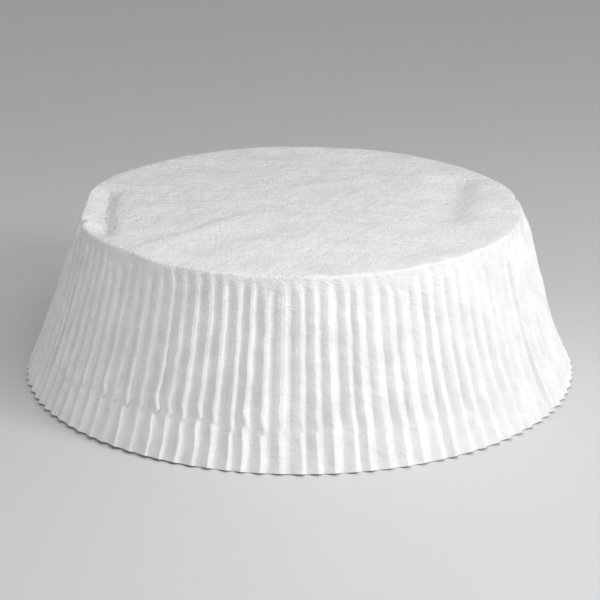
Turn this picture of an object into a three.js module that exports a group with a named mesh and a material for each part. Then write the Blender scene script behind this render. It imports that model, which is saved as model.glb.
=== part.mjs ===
// Pleated paper baking liner, the shallow cake size, standing upside down on its pleated rim.
//
// The real one is a single disc of thin paper. A fluted die presses its middle flat and turns the rest down
// into a flaring wall. A disc has more paper towards its edge than the wall has room for, and the surplus goes
// into pleats: they start from nothing at the fold round the base and are deepest at the cut edge.
// The model does the same. The section of the sheet is revolved, its wall is folded to the depth that the length
// of each ring in the flat disc asks for, and the sheet then gets its thickness.
//
// Millimetres, +Z up. The origin is on the surface that the rim stands on, at the centre.

import * as THREE from "three";
import { mergeVertices } from "three/addons/utils/BufferGeometryUtils.js";

// Sizes of the paper
const BLANK_DIAMETER = 216; // the flat disc that the liner is pressed from
const PAPER_THICKNESS = 0.06;

// Form of the pressed cup
const BASE_DIAMETER = 120; // where the plane of the base would meet the slope of the wall
const FOLD_RADIUS = 0.9; // of the pressed fold between base and wall
const FLARE_AT_BASE = THREE.MathUtils.degToRad(12.5); // lean of the wall from upright, just under the fold
const FLARE_AT_RIM = THREE.MathUtils.degToRad(23.5); // and at the cut edge, so the wall opens like a bell

// Pleats
const PLEAT_COUNT = 104;
const RIDGE_SHARE = 0.12; // of a pleat's pitch that its rounded crest takes, and its valley the same
const DEPTH_KEPT = 0.75; // of the depth that a pleat's paper allows; the die crimps the rest into the creases

// How finely the form is divided
const SIDES_PER_PLEAT = 4; // crest, flank, valley, flank
const FOLD_STEPS = 2;
const WALL_STOPS = [0.03, 0.12, 0.42, 1]; // rings down the wall, as shares of its length, closer where it starts

const blankRadius = BLANK_DIAMETER / 2;

// The wall turns this far from the plane of the base at the fold, and the fold eats into the flat base.
const foldTurn = Math.PI / 2 - FLARE_AT_BASE;
const flatRadius = BASE_DIAMETER / 2 - FOLD_RADIUS * Math.tan(foldTurn / 2);
const foldLength = FOLD_RADIUS * foldTurn;
const wallLength = blankRadius - flatRadius - foldLength;

// One point of the sheet's section: `paper` is how far it lies from the middle of the flat disc, `radius` and
// `drop` where the press puts it, measured from the axis and down from the base, and `lean` the sheet's slope
// there, from upright.
function sectionPoint(paper) {
  if (paper <= flatRadius) return { paper, radius: paper, drop: 0, lean: Math.PI / 2 };

  const turned = Math.min((paper - flatRadius) / FOLD_RADIUS, foldTurn);
  const point = {
    paper,
    radius: flatRadius + FOLD_RADIUS * Math.sin(turned),
    drop: FOLD_RADIUS * (1 - Math.cos(turned)),
    lean: Math.PI / 2 - turned,
  };
  const down = paper - flatRadius - foldLength;
  if (down <= 0) return point;

  // Below the fold the wall is one arc, which opens steadily from one flare to the other.
  point.lean = THREE.MathUtils.lerp(FLARE_AT_BASE, FLARE_AT_RIM, down / wallLength);
  const bellRadius = wallLength / (FLARE_AT_RIM - FLARE_AT_BASE);
  point.radius += bellRadius * (Math.cos(FLARE_AT_BASE) - Math.cos(point.lean));
  point.drop += bellRadius * (Math.sin(point.lean) - Math.sin(FLARE_AT_BASE));
  return point;
}

// The rings of the sheet, from the middle of the base out to the cut edge.
function makeSection() {
  const section = [sectionPoint(0), sectionPoint(flatRadius)];
  for (let step = 1; step <= FOLD_STEPS; step++) {
    section.push(sectionPoint(flatRadius + (foldLength * step) / FOLD_STEPS));
  }
  for (const stop of WALL_STOPS) {
    section.push(sectionPoint(flatRadius + foldLength + wallLength * stop));
  }
  return section;
}

// Depth of the pleats on a ring, crest to valley. A pleat is a flat crest, a flank, a flat valley and a flank.
// At their full depth they would be as long, together, as that pleat's share of the ring in the flat disc.
function pleatDepth({ paper, radius }) {
  const paperPitch = (2 * Math.PI * paper) / PLEAT_COUNT;
  const pitch = (2 * Math.PI * radius) / PLEAT_COUNT;
  const flank = paperPitch / 2 - RIDGE_SHARE * pitch;
  const flankRun = (0.5 - RIDGE_SHARE) * pitch;
  return DEPTH_KEPT * Math.sqrt(Math.max(flank ** 2 - flankRun ** 2, 0));
}

// Angle of each line of folds round the axis, and the side of the mean wall that it stands on: 1 on a crest and
// -1 in a valley. A pleat is centred on its crest.
function foldLines() {
  const pleatAngle = (2 * Math.PI) / PLEAT_COUNT;
  const halfRidge = (pleatAngle * RIDGE_SHARE) / 2;
  const lines = [];
  for (let pleat = 0; pleat < PLEAT_COUNT; pleat++) {
    const crest = pleat * pleatAngle;
    const valley = crest + pleatAngle / 2;
    lines.push({ angle: crest - halfRidge, side: 1 }, { angle: crest + halfRidge, side: 1 });
    lines.push({ angle: valley - halfRidge, side: -1 }, { angle: valley + halfRidge, side: -1 });
  }
  return lines;
}

// The middle surface of the paper: the section is revolved with a side for each flat of each pleat, and each
// vertex then goes to its fold line, on the crest or in the valley.
function makeFoldedSheet(section) {
  const sides = PLEAT_COUNT * SIDES_PER_PLEAT;
  const outline = section.map(({ radius, drop }) => new THREE.Vector2(radius, -drop));
  const sheet = new THREE.LatheGeometry(outline, sides);
  const position = sheet.getAttribute("position");
  const lines = foldLines();

  for (let side = 0; side <= sides; side++) {
    const { angle, side: stands } = lines[side % sides];
    section.forEach((point, ring) => {
      const out = (stands * pleatDepth(point)) / 2;
      const radius = point.radius + out * Math.cos(point.lean);
      const height = -point.drop + out * Math.sin(point.lean);
      position.setXYZ(side * section.length + ring, radius * Math.cos(angle), radius * Math.sin(angle), height);
    });
  }
  return closedUp(sheet);
}

// Merges a revolved surface at its seam and its pole, and drops the faces that close up there.
function closedUp(surface) {
  surface.deleteAttribute("normal");
  surface.deleteAttribute("uv");
  const merged = mergeVertices(surface, PAPER_THICKNESS / 100);
  const faces = [];
  const corners = merged.index.array;
  for (let i = 0; i < corners.length; i += 3) {
    const [a, b, c] = corners.slice(i, i + 3);
    if (a !== b && b !== c && c !== a) faces.push([a, b, c]);
  }
  return { points: pointsOf(merged), faces };
}

function pointsOf(geometry) {
  const position = geometry.getAttribute("position");
  return Array.from({ length: position.count }, (_, i) => new THREE.Vector3().fromBufferAttribute(position, i));
}

// How far and which way each point moves for the sheet's upper skin to lie half a thickness off every face that
// meets there, so that the paper is as thick on the flanks as on the crests.
function skinOffsets({ points, faces }, distance) {
  const normals = points.map(() => []);
  for (const face of faces) {
    const normal = new THREE.Triangle(...face.map((i) => points[i])).getNormal(new THREE.Vector3());
    face.forEach((i) => normals[i].push(normal));
  }
  return normals.map((around) => {
    const mean = around.reduce((sum, normal) => sum.add(normal), new THREE.Vector3()).normalize();
    const lean = around.reduce((sum, normal) => sum + normal.dot(mean), 0) / around.length;
    return mean.multiplyScalar(distance / lean);
  });
}

// Edges that only one face uses, in that face's own direction: the cut edge of the paper.
function openEdges(faces) {
  const used = new Set(faces.flatMap(([a, b, c]) => [`${a},${b}`, `${b},${c}`, `${c},${a}`]));
  return [...used].map((key) => key.split(",").map(Number)).filter(([a, b]) => !used.has(`${b},${a}`));
}

// The sheet as a solid: an outer skin, an inner skin and the cut edge between them.
function thicken(sheet, thickness) {
  const offsets = skinOffsets(sheet, thickness / 2);
  const outer = sheet.points.map((point, i) => point.clone().add(offsets[i]));
  const inner = sheet.points.map((point, i) => point.clone().sub(offsets[i]));
  const below = sheet.points.length;
  const faces = sheet.faces.flatMap(([a, b, c]) => [a, b, c, c + below, b + below, a + below]);
  for (const [a, b] of openEdges(sheet.faces)) {
    faces.push(b, a, a + below, b, a + below, b + below);
  }
  const solid = new THREE.BufferGeometry().setFromPoints([...outer, ...inner]);
  solid.setIndex(faces);
  return solid;
}

function makeLiner() {
  const solid = thicken(makeFoldedSheet(makeSection()), PAPER_THICKNESS);
  // It stands on the ends of its valleys.
  solid.computeBoundingBox();
  solid.translate(0, 0, -solid.boundingBox.min.z);
  solid.computeVertexNormals();

  const paper = new THREE.MeshStandardMaterial({ color: 0xf2f3f1, roughness: 0.75, metalness: 0 });
  const liner = new THREE.Mesh(solid, paper);
  liner.name = "pleated_liner";
  return liner;
}

const part = new THREE.Group();
part.add(makeLiner());

export default part;
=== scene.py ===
import math
import random
from types import SimpleNamespace

import bpy
import bmesh
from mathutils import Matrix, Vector, noise


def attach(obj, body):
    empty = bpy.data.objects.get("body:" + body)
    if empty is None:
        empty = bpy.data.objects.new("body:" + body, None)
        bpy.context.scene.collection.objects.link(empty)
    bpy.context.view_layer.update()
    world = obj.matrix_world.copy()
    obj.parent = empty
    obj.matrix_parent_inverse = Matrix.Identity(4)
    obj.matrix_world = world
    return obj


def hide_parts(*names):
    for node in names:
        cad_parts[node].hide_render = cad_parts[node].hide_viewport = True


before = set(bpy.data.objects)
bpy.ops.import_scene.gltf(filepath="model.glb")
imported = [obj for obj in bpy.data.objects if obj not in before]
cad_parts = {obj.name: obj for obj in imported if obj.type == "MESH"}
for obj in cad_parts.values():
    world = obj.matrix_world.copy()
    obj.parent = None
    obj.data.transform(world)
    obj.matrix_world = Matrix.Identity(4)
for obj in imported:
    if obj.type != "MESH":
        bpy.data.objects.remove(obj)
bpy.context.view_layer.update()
print("frame loaded")

mm = 0.001                              # all lengths are in metres


# Camera

camera = {
    "distance": 523.8 * mm,             # from a point on the liner's axis
    "orbitHeight": 23 * mm,             # height of that point, about half the liner's
    "elevation": math.radians(19.30),
    "aimHeight": 18.29 * mm,            # height on the axis that the middle of the frame shows
    "focalPixels": 1907.0,
    "framePixels": 600,
    "sensorWidth": 36.0,
    "clipStart": 10 * mm,
    "clipEnd": 20.0,
}


def makeCamera():
    data = bpy.data.cameras.new("camera")
    data.sensor_width = camera["sensorWidth"]
    data.lens = camera["sensorWidth"] * camera["focalPixels"] / camera["framePixels"]
    data.clip_start = camera["clipStart"]
    data.clip_end = camera["clipEnd"]
    eye = bpy.data.objects.new("camera", data)
    reach = camera["distance"] * math.cos(camera["elevation"])
    rise = camera["distance"] * math.sin(camera["elevation"])
    eye.location = (0, -reach, camera["orbitHeight"] + rise)
    aim = Vector((0, 0, camera["aimHeight"])) - eye.location
    eye.rotation_euler = aim.to_track_quat("-Z", "Y").to_euler()
    bpy.context.scene.collection.objects.link(eye)
    bpy.context.scene.camera = eye
    print("camera made")


# The liner: a flat disc of paper, pressed into a cup of pleats, then given its thickness.
# A point of the sheet is known by "paper", its distance from the middle of the flat disc, and its angle.

liner = {
    "blankDiameter": 216 * mm,          # the flat disc that it is pressed from
    "paperThickness": 0.06 * mm,
    "baseDiameter": 120 * mm,           # where the base's plane would meet the wall's slope
    "foldRadius": 0.9 * mm,
    "flareAtBase": math.radians(12.5),  # lean of the wall from upright
    "flareAtRim": math.radians(23.5),
    "waist": 0.70 * mm,                 # the wall is drawn in by this at mid height
    "waistRight": 0.25 * mm,            # and by this much more on the right
    "pleatCount": 104,
    "ridgeShare": 0.12,                 # of a pleat's pitch that its crest takes, and its valley
    "turn": -0.13,                      # of a pitch, which turns the pleats about the axis
    "sharpAngle": math.radians(16),     # over this, an edge shades as a crease
    "seed": 7,
}

blankRadius = liner["blankDiameter"] / 2
foldTurn = math.pi / 2 - liner["flareAtBase"]
flatRadius = liner["baseDiameter"] / 2 - liner["foldRadius"] * math.tan(foldTurn / 2)
foldLength = liner["foldRadius"] * foldTurn
wallStart = flatRadius + foldLength
wallLength = blankRadius - wallStart
pleatAngle = 2 * math.pi / liner["pleatCount"]

mesh = {
    "columnsOnBase": 2,                 # for each pleat's share of the base
    "columnsOnWall": 10,                # and on the wall, a multiple of those on the base
    "baseRingGap": 1.6 * mm,
    "foldRings": 3,
    "upperWall": 4.4 * mm,              # closer rings here, where the pleats open
    "upperWallRingGap": 1.1 * mm,
    "wallRingGap": 1.5 * mm,
    "crushRingGap": 0.6 * mm,           # and where the wall has been crushed,
    "crushRingsFrom": -2.2 * mm,        # from above the crushed ring
    "crushRingsTo": 2 * mm,             # to below it
    "sameRing": 0.01 * mm,              # points this near in radius are on one ring
    "mergeWithin": 1e-7,
}

pleat = {
    "crestCorner": 0.11,                # of the pitch, from the crest's middle to each of its two creases
    "collarCorner": 0.05,               # the same on the collar below the crushed ring
    "valleyCorner": 0.42,               # and to the crease beside the valley
    "depthAtFold": 1.25,                # share of the depth that the paper allows
    "depthKept": 0.82,
    "depthSettles": (2 * mm, 20 * mm),  # this far down the wall
    "collarDepth": 0.63,
    "deeperRight": 0.16,                # share by which they are deeper on the right
    "opens": (-0.7 * mm, 1.1 * mm),     # from where a pleat starts, down the wall
    "freeWithin": 6 * mm,               # its own habits show in full from this far down
    "spreadWithin": 3 * mm,             # and its columns are on their creases from here
    "hollowRight": 2.4,                 # over 1, right flanks are steeper at the crest than lower down,
    "hollowMoreLeft": 0.7,              # the more so on the liner's left side
    "hollowLeft": 0.56,                 # and under 1, left flanks are steeper in the valley
    "collarStraightens": 0.6,           # share of the hollow that the collar takes away
    "leanRight": 0.09,                  # of the pitch, how far the crests lean to the right at the front,
    "leanMoreLeft": 0.15,               # how much more on the left side, and less on the right
    "mostLean": 0.82,                   # of a flank's width, so that no flank folds under itself
    "softWave": 0.92,                   # depth of the soft waves that the pleats are at first
    "creased": (-1 * mm, 5 * mm),       # they turn to creases here, down the wall,
    "creasedAtFirst": 0.3,              # and are this much creased from the start
    "groove": 0.08 * mm,                # the crest's middle lies this far below its creases
    "second": 0.16 * mm,                # height of the faint second crease on the left flanks
    "secondColumn": 3,                  # and its column, counted from the crest
    "secondChange": 3.7,                # how much it differs from one pleat to the next
    "secondPerMetre": 70,               # and down the wall
}

faint = {
    "at": math.radians(-142),           # the pleats are pressed less deeply here, up on the left
    "over": math.radians(26),
    "by": 0.45,
    "reach": 32 * mm,
}

bulge = {
    "at": math.radians(-2),             # the wall stands out a little here, below the base's right edge
    "over": math.radians(24),
    "by": 1.15 * mm,
    "grows": (0, 6 * mm),               # down the wall
    "goes": (22 * mm, 34 * mm),
}

lift = {
    "at": math.radians(-138),           # the rim stands clear of the floor here, left of the front
    "over": math.radians(24),
    "by": 0.35 * mm,
    "reach": 20 * mm,                   # how far up the wall it is felt
}

crush = {
    "fromRim": 10.7 * mm,               # the crushed ring's distance from the cut edge, along the paper
    "wanders": 1.0 * mm,                # it isn't quite level
    "wanderTurns": 2.2,
    "swingBack": 0.35 * mm,             # above it the crests swing to the left where it is worst,
    "swingBackAt": (-7 * mm, -3.4 * mm),
    "swingOver": 0.82 * mm,             # then over to the right,
    "swingOverAt": (-3.6 * mm, -0.5 * mm),
    "snap": 1.00 * mm,                  # and step back below it
    "snapAt": (-0.1 * mm, 0.9 * mm),
    "settlesAt": (1 * mm, 7 * mm),
    "dent": 0.10 * mm,
    "dentWidth": 0.7 * mm,
    "worstAt": math.radians(-120),      # left of the front
    "fades": (math.radians(24), math.radians(46)),  # to both sides of there
    "elsewhere": 0.14,                  # share of it that the rest of the wall has
    "collarStarts": (-3.5 * mm, 2 * mm),
}

uneven = {
    "depth": {"size": 0.32, "perPleat": 0.9, "perMetre": 160},          # share of a pleat's depth
    "sway": {"size": 0.22 * mm, "perPleat": 0.8, "perMetre": 260},      # to the side
    "fineSway": {"size": 0.16 * mm, "perPleat": 1.9, "perMetre": 520},
    "bumps": {"size": 0.11 * mm, "perPleat": 1.3, "perMetre": 420},     # in and out
    "bumpsFrom": (-1 * mm, 2 * mm),
    "outOfRound": 0.40 * mm,
    "outOfRoundTurns": 2.5,
}


def smoothStep(low, high, value):
    share = min(max((value - low) / (high - low), 0), 1)
    return share * share * (3 - 2 * share)


def blend(a, b, share):
    return a + (b - a) * share


def bell(distance, width):
    return math.exp(-(distance / width) ** 2)


def angleFrom(a, b):
    return (a - b + math.pi) % (2 * math.pi) - math.pi


def near(angle, place):
    # 1 at the place's angle, and fading round the liner on both sides
    return bell(angleFrom(angle, place["at"]), place["over"])


patternGap = 17.3
patterns = {
    "depth": 1, "sway": 2, "ring": 3, "fineSway": 4, "edge": 5,
    "bumps": 6, "outOfRound": 7, "waves": 8, "crinkle": 9, "second": 10,
}


def wander(x, y, pattern):
    # Smooth noise from -1 to 1, of its own for each pattern
    return noise.noise(Vector((x, y, patternGap * patterns[pattern])))


def wanderRound(angle, turns, pattern):
    return wander(turns * math.cos(angle), turns * math.sin(angle), pattern)


def unevenness(name, spot):
    kind = uneven[name]
    return kind["size"] * wander(spot.place * kind["perPleat"], spot.paper * kind["perMetre"], name)


def evenSteps(start, end, gap):
    count = max(1, round((end - start) / gap))
    return [start + (end - start) * step / count for step in range(1, count + 1)]


def sheetRings():
    upperWallEnd = wallStart + mesh["upperWall"]
    crushStart = blankRadius - crush["fromRim"] + mesh["crushRingsFrom"]
    crushEnd = blankRadius - crush["fromRim"] + mesh["crushRingsTo"]
    rings = [0.0]
    rings += evenSteps(0, flatRadius, mesh["baseRingGap"])
    rings += evenSteps(flatRadius, wallStart, foldLength / mesh["foldRings"])
    rings += evenSteps(wallStart, upperWallEnd, mesh["upperWallRingGap"])
    rings += evenSteps(upperWallEnd, crushStart, mesh["wallRingGap"])
    rings += evenSteps(crushStart, crushEnd, mesh["crushRingGap"])
    rings += evenSteps(crushEnd, blankRadius, mesh["wallRingGap"])
    return rings


def onWallRing(edgeOfMesh):
    inner, outer = sorted(v.co.length for v in edgeOfMesh.verts)
    return inner > flatRadius + mesh["sameRing"] and outer - inner < mesh["sameRing"]


def makeFlatDisc():
    bm = bmesh.new()
    spoke = [bm.verts.new((radius, 0, 0)) for radius in sheetRings()]
    for inner, outer in zip(spoke, spoke[1:]):
        bm.edges.new((inner, outer))
    bmesh.ops.spin(bm, geom=bm.verts[:] + bm.edges[:], cent=(0, 0, 0), axis=(0, 0, 1), dvec=(0, 0, 0),
                   angle=2 * math.pi, steps=liner["pleatCount"] * mesh["columnsOnBase"],
                   use_merge=True, use_normal_flip=False, use_duplicate=False)
    bmesh.ops.remove_doubles(bm, verts=bm.verts[:], dist=mesh["mergeWithin"])
    ringEdges = [e for e in bm.edges if onWallRing(e)]
    cuts = mesh["columnsOnWall"] // mesh["columnsOnBase"] - 1
    bmesh.ops.subdivide_edges(bm, edges=ringEdges, cuts=cuts, use_grid_fill=True)
    return bm


# What differs from pleat to pleat

spread = {
    "shift": 0.065,                     # of the pitch, sideways
    "lean": 0.055,                      # of the pitch, the crest against the valleys
    "shallowest": 0.66,                 # share of the usual depth
    "deepest": 1.14,
    "latestStart": 7.5 * mm,            # how far below the fold the last ones open,
    "startsEarly": 3,                   # and the power that makes most of them open near it
    "leastCrushed": 0.3,                # share of the usual swings
    "mostCrushed": 1.3,
    "crushedAt": 0.75 * mm,
}

dice = random.Random(liner["seed"])
pleatHabits = [
    {
        "shift": dice.gauss(0, spread["shift"]),
        "lean": dice.gauss(0, spread["lean"]),
        "depth": dice.uniform(spread["shallowest"], spread["deepest"]),
        "start": spread["latestStart"] * dice.random() ** spread["startsEarly"],
        "crushed": dice.uniform(spread["leastCrushed"], spread["mostCrushed"]),
        "crushedAt": dice.gauss(0, spread["crushedAt"]),
    }
    for _ in range(liner["pleatCount"])
]


def habit(spot, name):
    # Neighbouring pleats share what lies between them, so a habit runs smoothly from crest to crest
    own = pleatHabits[spot.index % liner["pleatCount"]][name]
    beside = pleatHabits[(spot.index + (1 if spot.u > 0 else -1)) % liner["pleatCount"]][name]
    return blend(own, beside, abs(spot.u))


# The wall

def sectionPoint(paper):
    # Where the press puts a point of the flat disc: radius, drop below the base, lean from upright
    turned = min((paper - flatRadius) / liner["foldRadius"], foldTurn)
    radius = flatRadius + liner["foldRadius"] * math.sin(turned)
    drop = liner["foldRadius"] * (1 - math.cos(turned))
    down = paper - wallStart
    if down <= 0:
        return radius, drop, math.pi / 2 - turned
    opening = liner["flareAtRim"] - liner["flareAtBase"]
    lean = liner["flareAtBase"] + opening * down / wallLength
    bellRadius = wallLength / opening
    radius += bellRadius * (math.cos(liner["flareAtBase"]) - math.cos(lean))
    drop += bellRadius * (math.sin(lean) - math.sin(liner["flareAtBase"]))
    return radius, drop, lean


def allowedDepth(spot):
    # Crest to valley, so that the folded ring is as long as it was in the flat disc
    paperPitch = spot.paper * pleatAngle
    flank = paperPitch / 2 - liner["ridgeShare"] * spot.pitch
    flankRun = (0.5 - liner["ridgeShare"]) * spot.pitch
    return math.sqrt(max(flank ** 2 - flankRun ** 2, 0))


def columnPhase(u, corner):
    # Moves the evenly spun columns onto the creases of the crest and the valley
    column = abs(u) * mesh["columnsOnWall"]
    last = mesh["columnsOnWall"] / 2
    if column < 1:
        phase = corner * column
    elif column < last - 1:
        phase = blend(corner, pleat["valleyCorner"], (column - 1) / (last - 2))
    else:
        phase = blend(pleat["valleyCorner"], 0.5, column - last + 1)
    return math.copysign(phase, u)


def wallSpot(paper, angle):
    # A point of the wall: u runs from -0.5 to 0.5 across one pleat, with 0 on its crest
    spot = SimpleNamespace(paper=paper, angle=angle)
    spot.place = angle / pleatAngle - liner["turn"]
    spot.index = math.floor(spot.place + 0.5)
    spot.u = spot.place - spot.index
    spot.radius, spot.drop, spot.lean = sectionPoint(paper)
    spot.pitch = spot.radius * pleatAngle
    spot.down = paper - wallStart
    spot.free = smoothStep(0, pleat["freeWithin"], spot.down)
    spot.onCollar = smoothStep(*crush["collarStarts"], paper - blankRadius + crush["fromRim"])
    spot.corner = blend(pleat["crestCorner"], pleat["collarCorner"], spot.onCollar)
    spot.phase = columnPhase(spot.u, spot.corner)
    spot.side = pleatSide(spot)
    spot.onCrest = (1 + spot.side) / 2
    return spot


def pleatSide(spot):
    # Which side of the mean wall the sheet is on: 1 on the crest, -1 in the valley
    hollow = pleat["hollowLeft"]
    if spot.phase > 0:
        hollow = pleat["hollowRight"] - pleat["hollowMoreLeft"] * math.cos(spot.angle)
    hollow = blend(hollow, 1, pleat["collarStraightens"] * spot.onCollar)
    across = min(max((abs(spot.phase) - spot.corner) / (pleat["valleyCorner"] - spot.corner), 0), 1)
    folded = 2 * (1 - across) ** hollow - 1
    rounded = pleat["softWave"] * math.cos(2 * math.pi * spot.phase)
    creased = blend(pleat["creasedAtFirst"], 1, smoothStep(*pleat["creased"], spot.down))
    return blend(rounded, folded, creased)


def depthAt(spot):
    kept = blend(pleat["depthAtFold"], pleat["depthKept"], smoothStep(*pleat["depthSettles"], spot.down))
    depth = allowedDepth(spot) * blend(kept, pleat["collarDepth"], spot.onCollar)
    depth *= habit(spot, "depth")
    depth *= 1 + pleat["deeperRight"] * max(math.cos(spot.angle), 0)
    depth *= smoothStep(*pleat["opens"], spot.down - habit(spot, "start"))
    depth *= 1 - faint["by"] * near(spot.angle, faint) * (1 - smoothStep(0, faint["reach"], spot.down))
    depth *= 1 + unevenness("depth", spot) * spot.free
    return depth


def crushAt(spot):
    # Sideways swing and dent of the crests near the crushed ring
    ring = blankRadius - crush["fromRim"] + habit(spot, "crushedAt")
    ring += crush["wanders"] * wanderRound(spot.angle, crush["wanderTurns"], "ring")
    away = abs(angleFrom(spot.angle, crush["worstAt"]))
    share = blend(1, crush["elsewhere"], smoothStep(*crush["fades"], away))
    share *= habit(spot, "crushed")
    past = spot.paper - ring
    swing = crush["swingOver"] * smoothStep(*crush["swingOverAt"], past)
    swing -= crush["swingBack"] * smoothStep(*crush["swingBackAt"], past)
    swing -= crush["snap"] * smoothStep(*crush["snapAt"], past)
    remaining = crush["swingOver"] - crush["swingBack"] - crush["snap"]
    swing -= remaining * smoothStep(*crush["settlesAt"], past)
    return share * swing, share * crush["dent"] * bell(past, crush["dentWidth"])


def outAt(spot, dent):
    # How far the sheet stands out from the mean wall
    out = spot.side * depthAt(spot) / 2
    column = round(spot.u * mesh["columnsOnWall"])
    if column == 0:
        out -= pleat["groove"] * spot.free * (1 - spot.onCollar)
    if column == -pleat["secondColumn"]:
        change = wander(pleat["secondChange"] * spot.index, spot.paper * pleat["secondPerMetre"], "second")
        out += pleat["second"] * change * spot.free
    out -= dent * spot.onCrest
    out += unevenness("bumps", spot) * smoothStep(*uneven["bumpsFrom"], spot.down)
    outOfRound = uneven["outOfRound"] * wanderRound(spot.angle, uneven["outOfRoundTurns"], "outOfRound")
    return out + outOfRound * spot.free


def shiftAt(spot, swing):
    # How far the sheet lies from its even place, to the right as seen from outside
    shift = spot.pitch * (spot.phase - spot.u) * smoothStep(0, pleat["spreadWithin"], spot.down)
    shift += spot.pitch * habit(spot, "shift") * spot.free
    shift += unevenness("sway", spot) * spot.free
    shift += unevenness("fineSway", spot) * spot.free * (1 - spot.onCollar)

    leaning = habit(spot, "lean") + pleat["leanRight"] - pleat["leanMoreLeft"] * math.cos(spot.angle)
    crestShift = spot.pitch * leaning * spot.free + swing
    flank = pleat["valleyCorner"] - spot.corner
    most = pleat["mostLean"] * spot.pitch * flank
    ownShift = min(max(crestShift, -most), most)
    shift += ownShift * min(max((pleat["valleyCorner"] - abs(spot.phase)) / flank, 0), 1)
    shift += crestShift - ownShift      # the rest moves the valleys too
    return shift


def pressWall(paper, angle):
    spot = wallSpot(paper, angle)
    swing, dent = crushAt(spot)
    out = outAt(spot, dent)
    turned = angle + shiftAt(spot, swing) / spot.radius

    felt = 1 - smoothStep(0, edge["reachDown"], spot.down)
    radius = spot.radius + out * math.cos(spot.lean) - edgePush(angle) * felt
    waist = liner["waist"] + liner["waistRight"] * math.cos(angle)
    radius -= waist * math.sin(math.pi * max(spot.down, 0) / wallLength)
    standing = smoothStep(*bulge["grows"], spot.down) * (1 - smoothStep(*bulge["goes"], spot.down))
    radius += bulge["by"] * near(angle, bulge) * standing

    rimOfBase = Vector((math.cos(angle), math.sin(angle))) * flatRadius
    height = -spot.drop + out * math.sin(spot.lean) + baseHeight(*rimOfBase) * felt
    height += lift["by"] * near(angle, lift) * smoothStep(blankRadius - lift["reach"], blankRadius, paper)
    return Vector((radius * math.cos(turned), radius * math.sin(turned), height))


# The base, with its creases and dents

base = {
    "waves": 0.22 * mm,
    "wavesPerMetre": 58,
    "crinkle": 0.125 * mm,
    "crinklePerMetre": 170,
    "sag": 0.36 * mm,                   # the edge lies this far below the tightest that it could be
    "dish": 0.36 * mm,                  # and the middle this much lower again,
    "dishFrom": 1 * mm,                 # from this far inside the edge
    "dishFull": 10 * mm,                # and in full from here
    "creaseGrows": (-0.12, 0.1),        # along a crease, as shares of its length
    "creaseFades": (0.8, 1.12),
}

creases = {
    # In millimetres; left and right are its widths on the two sides of the way from start to end
    "leftEdge": {"start": (-53.3, 14.0), "end": (-50.3, -27.0), "depth": 1.80, "left": 2.2, "right": 4.2},
    "frontLeft": {"start": (-42.5, -41.0), "end": (-13.0, -8.0), "depth": -0.75, "left": 2.2, "right": 5.5},
    "shortPinch": {"start": (-60.0, -12.5), "end": (-53.0, -12.0), "depth": 0.45, "left": 1.2, "right": 1.2},
    "onRight": {"start": (44.6, 26.0), "end": (39.0, -14.0), "depth": 1.40, "left": 4.0, "right": 9.0},
    "farRight": {"start": (51.0, 20.0), "end": (48.0, -18.0), "depth": -0.55, "left": 5.5, "right": 3.2},
    "front": {"start": (-26.0, -46.0), "end": (6.0, -41.0), "depth": 0.12, "left": 2.2, "right": 2.2},
    "faintBehind": {"start": (-8.0, 12.0), "end": (26.0, 30.0), "depth": -0.16, "left": 3.0, "right": 2.0},
    "swell": {"start": (-22.0, -28.0), "end": (30.0, -26.0), "depth": -0.45, "left": 14.0, "right": 14.0},
}

edge = {
    "straightAt": math.radians(-180),   # the left side of the base has been pushed in to a straight line
    "straightBy": 1.6 * mm,
    "uneven": 0.22 * mm,
    "unevenTurns": 8,
    "reachInwards": 9 * mm,             # how far across the base the push is felt
    "reachDown": 16 * mm,               # and how far down the wall
}

edgePushes = {
    "frontLeft": {"at": math.radians(-143), "by": 0.6 * mm, "over": math.radians(16)},
    "notch": {"at": math.radians(-166.6), "by": 1.9 * mm, "over": math.radians(1.9)},
    "step": {"at": math.radians(6), "by": 0.8 * mm, "over": math.radians(2.0)},
    "right": {"at": math.radians(-2), "by": 0.3 * mm, "over": math.radians(17)},
}


def creaseHeight(x, y, crease):
    start, end = Vector(crease["start"]) * mm, Vector(crease["end"]) * mm
    along = end - start
    share = (Vector((x, y)) - start).dot(along) / along.length_squared
    nearest = start + along * min(max(share, 0), 1)
    gap = Vector((x, y)) - nearest
    width = crease["left"] if along.cross(gap) > 0 else crease["right"]
    fade = smoothStep(*base["creaseGrows"], share) * (1 - smoothStep(*base["creaseFades"], share))
    return -crease["depth"] * mm * bell(gap.length, width * mm) * fade


def baseHeight(x, y):
    inside = 1 - smoothStep(flatRadius - base["dishFull"], flatRadius - base["dishFrom"], math.hypot(x, y))
    height = -base["sag"] - base["dish"] * inside
    for kind in ("waves", "crinkle"):
        perMetre = base[kind + "PerMetre"]
        height += base[kind] * wander(x * perMetre, y * perMetre, kind)
    height += sum(creaseHeight(x, y, crease) for crease in creases.values())
    return height


def edgePush(angle):
    # How far the base's edge is pushed in towards the axis
    push = edge["uneven"] * wanderRound(angle, edge["unevenTurns"], "edge")
    push += sum(place["by"] * near(angle, place) for place in edgePushes.values())
    facing = math.cos(angleFrom(angle, edge["straightAt"]))
    if facing > 0:
        push += max(flatRadius - (flatRadius - edge["straightBy"]) / facing, 0)
    return push


def pressBase(x, y):
    paper = math.hypot(x, y)
    push = edgePush(math.atan2(y, x)) * smoothStep(flatRadius - edge["reachInwards"], flatRadius, paper)
    share = 1 - push / max(paper, mm)   # no push in the middle, where paper is 0
    return Vector((x * share, y * share, baseHeight(x, y)))


# The piece

def pressSheet(bm):
    for v in bm.verts:
        x, y = v.co.x, v.co.y
        paper = math.hypot(x, y)
        if paper <= flatRadius + mesh["sameRing"]:
            v.co = pressBase(x, y)
        else:
            v.co = pressWall(paper, math.atan2(y, x))


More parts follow.
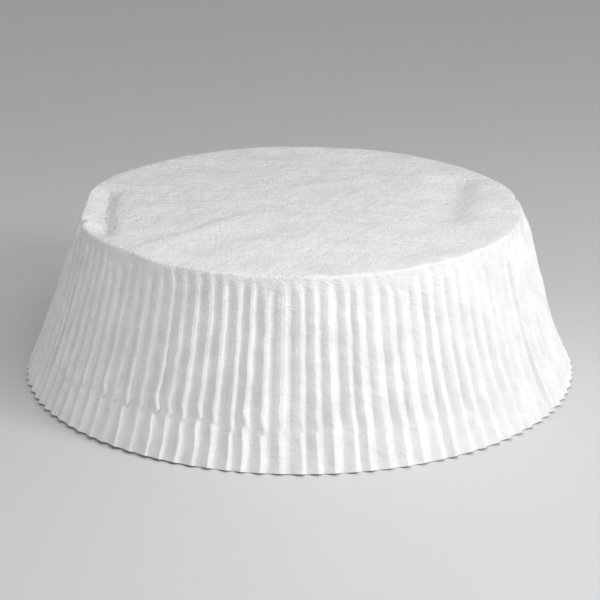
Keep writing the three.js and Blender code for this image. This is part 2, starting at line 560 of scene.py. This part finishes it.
def markFlatPlaces(bm):
    # The UV map is the flat disc, so that the paper's grain follows it round every fold
    flat = bm.loops.layers.uv.new("flatDisc")
    for face in bm.faces:
        for loop in face.loops:
            place = loop.vert.co / liner["blankDiameter"]
            loop[flat].uv = (place.x + 0.5, place.y + 0.5)


def makeLiner(material):
    bm = makeFlatDisc()
    markFlatPlaces(bm)
    pressSheet(bm)
    bmesh.ops.recalc_face_normals(bm, faces=bm.faces[:])
    bmesh.ops.solidify(bm, geom=bm.faces[:], thickness=liner["paperThickness"])
    bmesh.ops.translate(bm, verts=bm.verts[:], vec=(0, 0, -min(v.co.z for v in bm.verts)))
    for foldOrCut in bm.edges:
        foldOrCut.smooth = foldOrCut.calc_face_angle(0) < liner["sharpAngle"]
    sheet = bpy.data.meshes.new("paperLiner")
    bm.to_mesh(sheet)
    bm.free()
    for polygon in sheet.polygons:
        polygon.use_smooth = True
    sheet.materials.append(material)
    piece = bpy.data.objects.new("paperLiner", sheet)
    bpy.context.scene.collection.objects.link(piece)
    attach(piece, "root")
    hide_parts("pleated_liner")
    triangles = sum(len(polygon.vertices) - 2 for polygon in sheet.polygons)
    print("liner pressed:", triangles, "triangles")


# Paper

bakingPaper = {
    "colour": (0.975, 0.978, 0.97, 1),
    "cloudColour": (0.875, 0.88, 0.87, 1),
    "cloudRamp": (0.35, 0.65),          # where the noise turns from the one to the other
    "roughness": 0.75,
    "cloudSize": 9 * mm,
    "crinkleSize": 2.2 * mm,
    "fibreSize": 0.55 * mm,
    "fibreShare": 0.35,                 # of the relief, against the crinkle
    "alongX": 0.75,                     # under 1, the fibres lie mostly along X
    "relief": 0.57 * mm,
    "wallRelief": 0.44,                 # share of the relief that the press leaves on the wall,
    "pressedWithin": 3 * mm,            # from this far past the flat base
    "letsThrough": 0.20,                # share of the light that each skin passes on
}


def addNode(tree, kind, **settings):
    node = tree.nodes.new(kind)
    for name, value in settings.items():
        setattr(node, name, value)
    return node


def addNoise(tree, vector, size, detail, roughness):
    node = addNode(tree, "ShaderNodeTexNoise", noise_dimensions="2D")
    node.inputs["Scale"].default_value = liner["blankDiameter"] / size
    node.inputs["Detail"].default_value = detail
    node.inputs["Roughness"].default_value = roughness
    tree.links.new(vector, node.inputs["Vector"])
    return node.outputs["Fac"]


def addPressedShare(tree, uv):
    # Share of the relief that is left: all of it on the base, less on the wall
    blank = liner["blankDiameter"]
    fromMiddle = addNode(tree, "ShaderNodeVectorMath", operation="DISTANCE")
    fromMiddle.inputs[1].default_value = (0.5, 0.5, 0)
    tree.links.new(uv, fromMiddle.inputs[0])
    pressed = addNode(tree, "ShaderNodeMapRange")
    pressed.inputs["From Min"].default_value = flatRadius / blank
    pressed.inputs["From Max"].default_value = (flatRadius + bakingPaper["pressedWithin"]) / blank
    pressed.inputs["To Min"].default_value = 1
    pressed.inputs["To Max"].default_value = bakingPaper["wallRelief"]
    tree.links.new(fromMiddle.outputs["Value"], pressed.inputs["Value"])
    return pressed.outputs["Result"]


def makePaper():
    material = bpy.data.materials.new("bakingPaper")
    material.use_nodes = True
    tree = material.node_tree
    shader = tree.nodes["Principled BSDF"]
    shader.inputs["Roughness"].default_value = bakingPaper["roughness"]
    place = addNode(tree, "ShaderNodeUVMap", uv_map="flatDisc")
    grain = addNode(tree, "ShaderNodeMapping")
    grain.inputs["Scale"].default_value = (bakingPaper["alongX"], 1, 1)
    tree.links.new(place.outputs["UV"], grain.inputs["Vector"])
    clouds = addNoise(tree, grain.outputs["Vector"], bakingPaper["cloudSize"], detail=6, roughness=0.75)
    crinkle = addNoise(tree, grain.outputs["Vector"], bakingPaper["crinkleSize"], detail=4, roughness=0.6)
    fibres = addNoise(tree, grain.outputs["Vector"], bakingPaper["fibreSize"], detail=3, roughness=0.6)

    tint = addNode(tree, "ShaderNodeValToRGB")
    colours = (bakingPaper["cloudColour"], bakingPaper["colour"])
    for stop, position, colour in zip(tint.color_ramp.elements, bakingPaper["cloudRamp"], colours):
        stop.position = position
        stop.color = colour
    tree.links.new(clouds, tint.inputs["Fac"])
    tree.links.new(tint.outputs["Color"], shader.inputs["Base Color"])

    relief = addNode(tree, "ShaderNodeMath", operation="MULTIPLY_ADD")
    relief.inputs[1].default_value = bakingPaper["fibreShare"]
    tree.links.new(fibres, relief.inputs[0])
    tree.links.new(crinkle, relief.inputs[2])
    bump = addNode(tree, "ShaderNodeBump")
    bump.inputs["Distance"].default_value = bakingPaper["relief"]
    tree.links.new(addPressedShare(tree, place.outputs["UV"]), bump.inputs["Strength"])
    tree.links.new(relief.outputs["Value"], bump.inputs["Height"])
    tree.links.new(bump.outputs["Normal"], shader.inputs["Normal"])

    through = addNode(tree, "ShaderNodeBsdfTranslucent")
    tree.links.new(tint.outputs["Color"], through.inputs["Color"])
    tree.links.new(bump.outputs["Normal"], through.inputs["Normal"])
    mix = addNode(tree, "ShaderNodeMixShader")
    mix.inputs["Fac"].default_value = bakingPaper["letsThrough"]
    tree.links.new(shader.outputs["BSDF"], mix.inputs[1])
    tree.links.new(through.outputs["BSDF"], mix.inputs[2])
    tree.links.new(mix.outputs["Shader"], tree.nodes["Material Output"].inputs["Surface"])
    print("paper mixed")
    return material


# Floor, lamps and background

studio = {
    "floorSize": 6.0,
    "floorColour": (0.63, 0.635, 0.64, 1),
    "floorRoughness": 0.6,
    "backgroundColour": (1, 1, 1, 1),
    "ambient": 0.42,
}

lamps = {
    # Degrees and metres; azimuth is from the camera's side round to the right, and level is the share
    # of white that the lamp gives to a face square to it
    "keyLamp": {"azimuth": 60, "elevation": 28, "distance": 0.70, "size": 0.20, "level": 0.465},
    "topLamp": {"azimuth": 25, "elevation": 60, "distance": 0.30, "size": 0.15, "level": 0.328},
    "fillLamp": {"azimuth": -40, "elevation": 15, "distance": 0.80, "size": 0.60, "level": 0.115},
}


def makeFloor():
    bm = bmesh.new()
    bmesh.ops.create_grid(bm, x_segments=1, y_segments=1, size=studio["floorSize"] / 2)
    plane = bpy.data.meshes.new("floor")
    bm.to_mesh(plane)
    bm.free()
    material = bpy.data.materials.new("floorPaint")
    material.use_nodes = True
    shader = material.node_tree.nodes["Principled BSDF"]
    shader.inputs["Base Color"].default_value = studio["floorColour"]
    shader.inputs["Roughness"].default_value = studio["floorRoughness"]
    plane.materials.append(material)
    floor = bpy.data.objects.new("floor", plane)
    bpy.context.scene.collection.objects.link(floor)


def makeLamp(name, azimuth, elevation, distance, size, level):
    data = bpy.data.lights.new(name, "AREA")
    data.shape = "SQUARE"
    data.size = size
    data.energy = level * math.pi ** 2 * distance ** 2
    lamp = bpy.data.objects.new(name, data)
    reach = distance * math.cos(elevation)
    lamp.location = (reach * math.sin(azimuth), -reach * math.cos(azimuth), distance * math.sin(elevation))
    lamp.rotation_euler = (-lamp.location).to_track_quat("-Z", "Y").to_euler()
    bpy.context.scene.collection.objects.link(lamp)


def makeStudio():
    makeFloor()
    for name, lamp in lamps.items():
        makeLamp(name, math.radians(lamp["azimuth"]), math.radians(lamp["elevation"]),
                 lamp["distance"], lamp["size"], lamp["level"])
    world = bpy.data.worlds.new("studio")
    world.use_nodes = True
    background = world.node_tree.nodes["Background"]
    background.inputs["Color"].default_value = studio["backgroundColour"]
    background.inputs["Strength"].default_value = studio["ambient"]
    bpy.context.scene.world = world
    bpy.context.scene.view_settings.view_transform = "Standard"
    print("studio lit")


makeCamera()
makeStudio()
makeLiner(makePaper())
